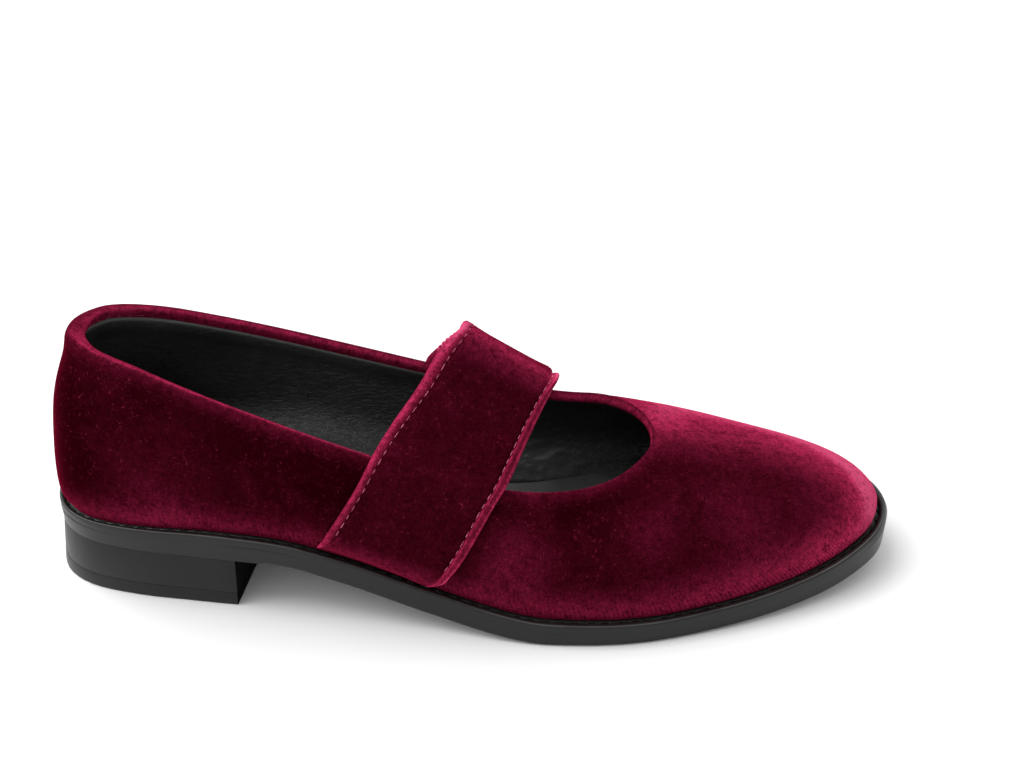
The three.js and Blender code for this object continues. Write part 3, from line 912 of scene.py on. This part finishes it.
roll_way = unit(inner_wall[0] - outer_wall[-1])
roll_out = ROLL_LEAN - COLLAR_OUT * ROLL_COLLAR_SHARE * at_collar
roll_outer = outer_wall[-1] + roll_way * roll_out[:, None]
roll_depth = ROLL_INNER - ROLL_LATERAL_THIN * lateral_side + COLLAR_IN * at_collar
roll_inner = inner_wall[0] + roll_way * roll_depth[:, None]
roll_rise = ROLL_RISE - ROLL_LATERAL_DROP * lateral_side - COLLAR_SINK * at_collar
roll_rise = np.maximum(roll_rise, ROLL_LEAST_RISE)
roll = []
for turn in ROLL_TURNS:
    row = (roll_outer + roll_inner) / 2 + (roll_outer - roll_inner) / 2 * math.cos(turn)
    row[:, 2] += roll_rise * math.sin(turn) ** 0.8 - top_sink
    roll.append(row)

fold_shares, fold_proud = np.array(FOLD_PROFILE).T
fold_wall = from_top(inner_wall, fold_width * fold_shares[:, None])[0]
fold_out = outward_of(fold_wall, -1)
fold_pad = COLLAR_IN * at_collar * (1 - fold_shares[:, None] ** 2)
fold_stand = fold_proud[:, None] * (1 - FOLD_LATERAL_THIN * lateral_side) + fold_pad
fold_face = fold_wall - fold_out * fold_stand[:, :, None]
fold_face[:, :, 2] -= top_sink
fold_back = from_top(inner_wall, fold_width * FOLD_BACK_SHARES[:, None])[0]
fold_back = fold_back + outward_of(fold_back, -1) * FOLD_BACK_DEPTH
roll_back = (outer_wall[-1:] + inner_wall[:1]) / 2
velvet_back = velvet_face[::-4] - velvet_out[::-4] * VELVET_THICKNESS
velvet_rows = np.concatenate([tuck, velvet_face, roll, fold_face, fold_back, roll_back, velvet_back])
pile_and_light_mark = np.full(velvet_rows.shape[:2], FOLD_LIFT)
roll_start = len(tuck) + len(velvet_face)
# The roll is lighter turned pile, with painted sheen along its crest and, on the outer side, a painted
# highlight line at its edge.
for step, turn in enumerate(ROLL_TURNS):
    crest_light = ROLL_CREST_PAINTED_SHEEN * bell(math.degrees(turn) - ROLL_CREST_TURN, ROLL_CREST_WIDTH)
    edge_light = ROLL_EDGE_PAINTED_HIGHLIGHT * bell(math.degrees(turn) - ROLL_EDGE_TURN, ROLL_EDGE_WIDTH)
    pile_and_light_mark[roll_start + step] = ROLL_LIFT + crest_light * (1 - 0.6 * at_collar)
    pile_and_light_mark[roll_start + step] += edge_light * lateral_side
face_rows = slice(len(tuck), roll_start)
pile_and_light_mark[face_rows] = np.minimum(pile_lift, PILE_AND_LIGHT_MOST)
rib_mark = np.zeros_like(pile_and_light_mark)
rib_mark[face_rows] = toe_near * ROUND_FOOT - above_feather * toe_side
rib_show = np.zeros_like(pile_and_light_mark)
rib_show[face_rows] = 0.7 * bell(above_feather, 5) + 0.8 * toe_band

velvet_upper = shaped_grid(
    "velvet_upper",
    closed_tube(velvet_rows),
    pile_lift=closed_tube(pile_and_light_mark),
    rib_run=closed_tube(rib_mark),
    rib_show=closed_tube(rib_show),
)
velvet_upper.data.materials.append(velvet_finish("burgundy_velvet"))
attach(velvet_upper, "root")
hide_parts("upper")

TOP_STITCH_PITCH = 3.3
TOP_STITCH_LENGTH = 1.7
TOP_STITCH_RADIUS = 0.16
TOP_STITCH_SUNK = 0.08
FOLD_STITCH_SUNK = 0.12
WINE_DARK = (0.03, 0.001, 0.006, 1)
WINE_LIGHT = (0.09, 0.004, 0.017, 1)
PLUM_DARK = (0.16, 0.015, 0.04, 1)
PLUM_LIGHT = (0.4, 0.08, 0.13, 1)

seam_row = len(velvet_face) - 1 - int(np.abs(TOP_DROPS - TOP_SEAM).argmin())
stitch_row(
    "topline_stitches",
    joined(velvet_face[seam_row] - velvet_out[seam_row] * TOP_STITCH_SUNK, 0),
    joined(velvet_out[seam_row], 0),
    TOP_STITCH_PITCH,
    TOP_STITCH_LENGTH,
    TOP_STITCH_RADIUS,
    thread_finish("wine_thread", WINE_DARK, WINE_LIGHT, 0.9),
)
stitch_row(
    "fold_stitches",
    joined(fold_face[FOLD_SEAM] - fold_out[FOLD_SEAM] * FOLD_STITCH_SUNK, 0),
    joined(-fold_out[FOLD_SEAM], 0),
    TOP_STITCH_PITCH,
    TOP_STITCH_LENGTH,
    TOP_STITCH_RADIUS,
    thread_finish("plum_thread", PLUM_DARK, PLUM_LIGHT, 0.7),
)


# Strap: a wide band of the same velvet over the instep, two layers with their edges turned in.
# Its outer end is lasted in at the welt, and the free end closes on the inner side of the foot.
# The back hem is gathered past the crest, and the front hem stands up there in a small knob.
STRAP_RING = 14
STRAP_COLUMNS = [0, 2, 3, 4, 6]
STRAP_FINE = 600
STRAP_STEP = 0.55
STRAP_CLOSE_STEP = 0.27
STRAP_END_RUN = 4
STRAP_MID_STEPS = 14
GATHER_RUN = 30
GATHER_PITCH = 2.0
GATHER_DEPTH = 0.6
GATHER_WIDTH = 3.6
GATHER_SLANT = 0.8
GATHER_SCALLOP = 0.3
STRAP_HALF = 1.25
BACK_HEM = [
    (0, 0),
    (0.06, 0.42),
    (0.2, 0.85),
    (0.46, 1.28),
    (0.8, 1.56),
    (1.2, 1.68),
    (1.6, 1.58),
    (1.95, 1.32),
    (2.2, 1.0),
    (2.4, 0.78),
    (2.65, 0.95),
    (3, 1.2),
    (3.5, 1.36),
    (4.5, 1.38),
    (6.5, 1.3),
    (9, STRAP_HALF),
]
FRONT_HEM = [
    (0, -0.5),
    (0.06, -0.2),
    (0.23, 0.1),
    (0.54, 0.3),
    (0.78, 0.25),
    (0.94, 0.1),
    (1.1, 0.45),
    (1.33, 0.92),
    (1.72, 1.45),
    (2.1, 1.66),
    (2.42, 1.52),
    (2.66, 1.18),
    (2.9, 0.8),
    (3.15, 0.95),
    (3.5, 1.2),
    (4.1, 1.36),
    (5.2, 1.35),
    (9, STRAP_HALF),
]
END_HEM = [(0, 0), (0.1, 0.5), (0.4, 0.95), (1, 1.3), (2, 1.5), (3.2, 1.4), (4.5, 2.5)]
BACK_UNDER = [(0, 0), (0.1, 0.5), (0.4, 0.9), (1, 1.2), (1.8, STRAP_HALF)]
FRONT_UNDER = [(0, 0.5), (0.1, 0.8), (0.4, 1.1), (1, STRAP_HALF)]
FOOT_PROFILE = [(1.3, 1.4), (1.1, 0.7), (0.6, 0.15)]
FOOT_CLEAR = 0.1
FOOT_WAY_ROW = 8
BACK_SEAM = 2.4
FRONT_SEAM = 2.9
SEAM_START = 7
SEAM_STOP = 3.5
STRAP_STITCH_PITCH = 3.1
STRAP_STITCH_LENGTH = 2.1
STRAP_STITCH_RADIUS = 0.145
STRAP_STITCH_PROUD = 0.08
PINK_DARK = (0.36, 0.05, 0.1, 1)
PINK_LIGHT = (0.7, 0.2, 0.28, 1)
PUCKER_DEPTH = 0.09
CORNER_RUN = 6
BACK_CORNER_OUT = 0.2
FRONT_CORNER_OUT = 1.4
FRONT_CORNER_ROUND = 2.6
FRONT_CORNER_DOWN = 2.4
PINCH_RUN = 8
FOOT_PINCH = 0.6
CREST_PINCH = 0.25
SIDE_SPREAD = 0.42
PINCH_REACH = 4.5
PINCH_END = 14
KNOB_OUT = 0.9
KNOB_TUCK = 0.9
KNOB_RISE = 2.3
BACK_TURN = 2.9
BACK_PULL = 1.75
BACK_FLARE = 1.6
FACE_MOST = 1.9
CREST_THIN = 0.4
FOOT_FOLD = 0.35
FRONT_DROOP = 2.1
FOOT_SINK = 0.9
HEM_FADE = 0.35
STRAP_LEAST_LIFT = 0.05
SEAM_LIFT = 0.4
GATHER_PAINTED_LIGHT = 0.4
GATHER_PAINTED_SHADING = 0.9
FOLD_STREAK = 0.3
END_LIFT = 0.3
FOOT_LIFT = 0.35
CREST_PAINTED_SHEEN = 0.32
CREST_PAINTED_HIGHLIGHT = 0.5

# The strap's middle sheet runs from its foot at the welt to its free end, and across from back to front.
strap_rings = cad_rings("strap", STRAP_RING)
if strap_rings[0, :, 1].mean() > strap_rings[-1, :, 1].mean():
    strap_rings = strap_rings[::-1]
edge_gaps = np.linalg.norm(strap_rings - np.roll(strap_rings, 1, axis=1), axis=2).mean(axis=0)
edges = np.sort(edge_gaps.argsort()[:2])
back_edge = edges[strap_rings[:, edges, 0].mean(axis=0).argmin()]
strap_rings = np.roll(strap_rings, -back_edge, axis=1)
half_ring = STRAP_RING // 2
strap_sheet = (strap_rings[:, :half_ring] + strap_rings[:, : half_ring - 1 : -1]) / 2
strap_columns = strap_sheet[:, STRAP_COLUMNS]

fine_places = np.linspace(0, len(strap_columns) - 1, STRAP_FINE)
middle_line = smoothed(strap_columns[:, len(STRAP_COLUMNS) // 2], fine_places)
middle_run = run_along(middle_line)
crest = middle_run[middle_line[:, 2].argmax()]
strap_length = middle_run[-1]
strap_run = np.concatenate(
    [
        np.arange(0, crest, STRAP_STEP),
        np.arange(crest, crest + GATHER_RUN, STRAP_CLOSE_STEP),
        np.arange(crest + GATHER_RUN, strap_length - STRAP_END_RUN, STRAP_STEP),
        np.arange(strap_length - STRAP_END_RUN, strap_length, STRAP_CLOSE_STEP),
        [strap_length],
    ]
)
strap_columns = smoothed(strap_columns, np.interp(strap_run, middle_run, fine_places))
strap_width = np.linalg.norm(strap_columns[:, -1] - strap_columns[:, 0], axis=1).mean()
back_edge_places = np.array([edge for edge, _ in BACK_HEM]) / strap_width
front_edge_places = 1 - np.array([edge for edge, _ in FRONT_HEM[::-1]]) / strap_width
middle_places = np.linspace(back_edge_places[-1], front_edge_places[0], STRAP_MID_STEPS + 2)[1:-1]
strap_across = np.concatenate([back_edge_places, middle_places, front_edge_places])
across_places = strap_across * (len(STRAP_COLUMNS) - 1)
strap_middle = smoothed(strap_columns.swapaxes(0, 1), across_places).swapaxes(0, 1)
strap_side = unit(np.gradient(strap_middle, axis=1))
strap_out = unit(np.cross(strap_side, np.gradient(strap_middle, axis=0)))

from_back = np.tile(strap_across * strap_width, (len(strap_run), 1))
from_front = strap_width - from_back
from_end = np.tile((strap_length - strap_run)[:, None], (1, len(strap_across)))
from_foot = np.tile(strap_run[:, None], (1, len(strap_across)))
past_crest = from_foot - crest
to_back = 1 - strap_across


def hem_height(distance, profile):
    """The height of a hem's profile, at a distance from the strap's edge."""
    places, heights = np.array(profile).T
    return np.interp(distance, places, heights)


# Heights of the face and the underside over the sheet, with the hems, gathers and puckers.
face_height = hem_height(from_back, BACK_HEM) + hem_height(from_front, FRONT_HEM) - STRAP_HALF
face_height = np.minimum(face_height, hem_height(from_end, END_HEM))
under_height = np.minimum(hem_height(from_back, BACK_UNDER), hem_height(from_front, FRONT_UNDER))
under_height = np.minimum(under_height, hem_height(from_end, BACK_UNDER))
gather_zone = rising(past_crest, 2) * rising(GATHER_RUN - past_crest, 5)
gather_zone = gather_zone * rising(GATHER_WIDTH - from_back, 1)
gathers = np.sin(2 * np.pi * (from_foot - GATHER_SLANT * from_back) / GATHER_PITCH) * gather_zone
puckers = np.cos(2 * np.pi * from_foot / STRAP_STITCH_PITCH)
pucker_zone = bell(from_back - 1.45, 0.9) * (1 - gather_zone) + bell(from_front - 1.95, 0.8)
face_height = face_height + GATHER_DEPTH * gathers - PUCKER_DEPTH * puckers * pucker_zone

# Shifts of the sheet across its width: corners at the foot, pinch, knob, turn past the crest and flare.
near_foot = fading(from_foot, CORNER_RUN)
pinch = FOOT_PINCH * fading(from_foot, PINCH_RUN) ** 1.5 + CREST_PINCH * bell(past_crest, 9)
pinch = pinch - SIDE_SPREAD * rising(from_foot / crest - 0.35, 0.4)
pinch_reach = np.minimum(from_back, PINCH_REACH) * rising(PINCH_END - from_back, PINCH_END - PINCH_REACH)
at_knob = bell(past_crest + 1, 4.5)
turn_share = rising(past_crest - 1, 11)
turn_share = turn_share**2 * (3 - 2 * turn_share)
edge_shift = (
    -BACK_CORNER_OUT * near_foot**2 * to_back**4
    + FRONT_CORNER_OUT * near_foot**1.4 * strap_across**4
    - FRONT_CORNER_ROUND * fading(from_foot, 4) ** 2.2 * strap_across**6
    - pinch * pinch_reach
    + KNOB_OUT * at_knob * rising(3.6 - from_front, 1.2)
    - KNOB_TUCK * at_knob * fading(from_front, 1)
    + BACK_TURN * turn_share * to_back**1.5
    + BACK_PULL * bell(from_foot / crest - 0.33, 0.17) * to_back**3
    - BACK_FLARE * bell(past_crest + 10, 7.5) * to_back**5
    - GATHER_SCALLOP * gathers * bell(from_back, 1)
)
strap_middle = strap_middle + strap_side * edge_shift[:, :, None]
face_height = np.minimum(face_height, FACE_MOST - CREST_THIN * bell(past_crest, 7))
foot_fold = fading(from_foot, 12) * bell(from_back - 1.7 - 0.25 * from_foot, 0.45)
face_height = face_height + FOOT_FOLD * foot_fold
droop = FRONT_DROOP * bell(past_crest - 8, 6) * rising(3.3 - from_front, 1.1)
knob_rise = KNOB_RISE * at_knob * bell(from_front - 1.9, 1.0)
sunk = droop - knob_rise + FOOT_SINK * near_foot**2
strap_middle = strap_middle - strap_out * sunk[:, :, None]
down_way = unit(strap_middle[0] - strap_middle[FOOT_WAY_ROW])
corner_down = FRONT_CORNER_DOWN * fading(from_foot, 9) ** 1.5 * strap_across**3
strap_middle = strap_middle + down_way * corner_down[:, :, None]
face_height = face_height * (1 - 0.55 * near_foot**2)
under_height = under_height * (1 - 0.6 * near_foot**2) + GATHER_DEPTH * gathers
strap_face = strap_middle + strap_out * face_height[:, :, None]
strap_under = strap_middle - strap_out * under_height[:, :, None]
strap_loop = np.concatenate([strap_face, strap_under[:, ::-1]], axis=1)
foot_way = unit(strap_loop[0] - strap_loop[FOOT_WAY_ROW])
foot_rows = []
for drop, inset in FOOT_PROFILE:
    row = strap_loop[0] + foot_way * drop
    row[:, 1] += inset
    foot_rows.append(row)
strap_rows = np.concatenate([foot_rows, strap_loop])
strap_rows[:, :, 2] = np.maximum(strap_rows[:, :, 2], welt_top(strap_rows[:, :, 0]) + FOOT_CLEAR)
start_row = (strap_rows[:1] + strap_rows[:1, ::-1]) / 2
end_row = np.concatenate([strap_middle[-1:], strap_middle[-1:, ::-1]], axis=1)
strap_rows = np.concatenate([start_row, strap_rows, end_row])

# Lighter pile on the hems, at the ends, at the foot and along the seam, with painted sheen on the hems.
# Painted light lifts the gathers, more on their shadowed underside, lighter on their ridges with
# painted shade in their troughs. Painted sheen lies over the crest, with a painted highlight line
# along it.
hem_fade = 1 - HEM_FADE * fading(from_foot, 0.6 * crest)
back_hem_pile_and_sheen = hem_fade * (0.46 + 0.56 * bell(from_back - 0.6, 0.8)) * fading(from_back - 2, 0.6)
front_hem_pile_and_sheen = (0.4 + 0.62 * bell(from_front - 0.5, 0.55)) * fading(from_front - 2.25, 0.7)
strap_pile_and_light = (
    back_hem_pile_and_sheen
    + front_hem_pile_and_sheen
    + SEAM_LIFT * bell(from_front - 2.4, 0.35)
    + GATHER_PAINTED_LIGHT * gather_zone
    + GATHER_PAINTED_SHADING * gathers
    + FOLD_STREAK * foot_fold
    + END_LIFT * fading(from_end - 2.5, 1.5)
    + FOOT_LIFT * bell(from_foot, 6)
    + CREST_PAINTED_SHEEN * bell(past_crest + 2, 7)
    + CREST_PAINTED_HIGHLIGHT * bell(past_crest, 2.2)
)
under_pile_and_light = strap_pile_and_light + GATHER_PAINTED_LIGHT * gather_zone
loop_pile_and_light = np.concatenate([strap_pile_and_light, under_pile_and_light[:, ::-1]], axis=1)
loop_pile_and_light = np.clip(loop_pile_and_light, STRAP_LEAST_LIFT, PILE_AND_LIGHT_MOST)
strap_pile_and_light_mark = np.concatenate([loop_pile_and_light[:1]] * (len(foot_rows) + 1) + [loop_pile_and_light, loop_pile_and_light[-1:]])

velvet_strap = shaped_grid("velvet_strap", joined(strap_rows, 1), pile_lift=joined(strap_pile_and_light_mark, 1))
velvet_strap.data.materials.append(velvet_finish("strap_velvet"))
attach(velvet_strap, "root")
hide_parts("strap")

pink_thread = thread_finish("pink_thread", PINK_DARK, PINK_LIGHT, 0.7)
seam_rows = (strap_run > SEAM_START) & (strap_run < strap_length - SEAM_STOP)
for side, share in (("back", BACK_SEAM / strap_width), ("front", 1 - FRONT_SEAM / strap_width)):
    column = int(np.abs(strap_across - share).argmin())
    stitch_row(
        f"strap_{side}_stitches",
        strap_face[seam_rows, column] + strap_out[seam_rows, column] * STRAP_STITCH_PROUD,
        strap_out[seam_rows, column],
        STRAP_STITCH_PITCH,
        STRAP_STITCH_LENGTH,
        STRAP_STITCH_RADIUS,
        pink_thread,
    )


# Studio: a pale matt floor and an even pale surround, a little brighter low on the heel's side.
# One large soft light hangs high above the heel and a weak one behind the toe. The camera looks
# down on the outer side of the shoe.
FLOOR_SIZE = 8
FLOOR_DROP = 0.0002
FLOOR_LOOK = {"Base Color": (0.93, 0.93, 0.93, 1), "Roughness": 0.7, "Specular IOR Level": 0.2}
SURROUND_COLOUR = (1, 1, 1, 1)
SURROUND_LEAN = (-0.2, -0.14, -0.2)
SURROUND_LEVEL = 0.88
CAMERA_PLACE = (0.01207, -0.37417, 0.2832)
CAMERA_TILT = math.radians(59.31)
CAMERA_LENS = 51.86
CAMERA_SENSOR = 36

bpy.ops.object.select_all(action="DESELECT")
bpy.ops.mesh.primitive_plane_add(size=FLOOR_SIZE, location=(0, 0, -FLOOR_DROP))
floor = bpy.context.object
floor.name = "floor"
floor.data.materials.append(Finish("pale_floor", FLOOR_LOOK).material)

world = bpy.data.worlds.new("surround")
world.use_nodes = True
surround = world.node_tree.nodes["Background"]
surround.inputs["Color"].default_value = SURROUND_COLOUR
sky = Socket(world.node_tree).node("ShaderNodeTexCoord", {}, {}, "Generated")
brighter_side = sky.node(
    "ShaderNodeVectorMath",
    {"operation": "DOT_PRODUCT"},
    {0: sky, 1: SURROUND_LEAN},
    "Value",
)
world.node_tree.links.new((brighter_side + SURROUND_LEVEL).output, surround.inputs["Strength"])
bpy.context.scene.world = world


def soft_light(name, place, target, size, power):
    """A square area light, turned to its target."""
    light = bpy.data.lights.new(name, "AREA")
    light.size = size
    light.energy = power
    lamp = bpy.data.objects.new(name, light)
    lamp.location = place
    way = np.array(target) - np.array(place)
    lamp.rotation_euler = (
        math.atan2(math.hypot(way[0], way[1]), -way[2]),
        0,
        math.atan2(way[1], way[0]) - math.pi / 2,
    )
    bpy.context.scene.collection.objects.link(lamp)


soft_light("overhead", place=(-0.85, 0.12, 1.45), target=(0, 0, 0.03), size=1.7, power=27)
soft_light("behind_toe", place=(0.5, 0.9, 0.9), target=(0.04, 0, 0.04), size=1.2, power=2.5)

camera = bpy.data.cameras.new("camera")
camera.lens = CAMERA_LENS
camera.sensor_width = CAMERA_SENSOR
viewer = bpy.data.objects.new("camera", camera)
viewer.location = CAMERA_PLACE
viewer.rotation_euler = (CAMERA_TILT, 0, 0)
bpy.context.scene.collection.objects.link(viewer)
bpy.context.scene.camera = viewer
bpy.context.scene.view_settings.view_transform = "Standard"
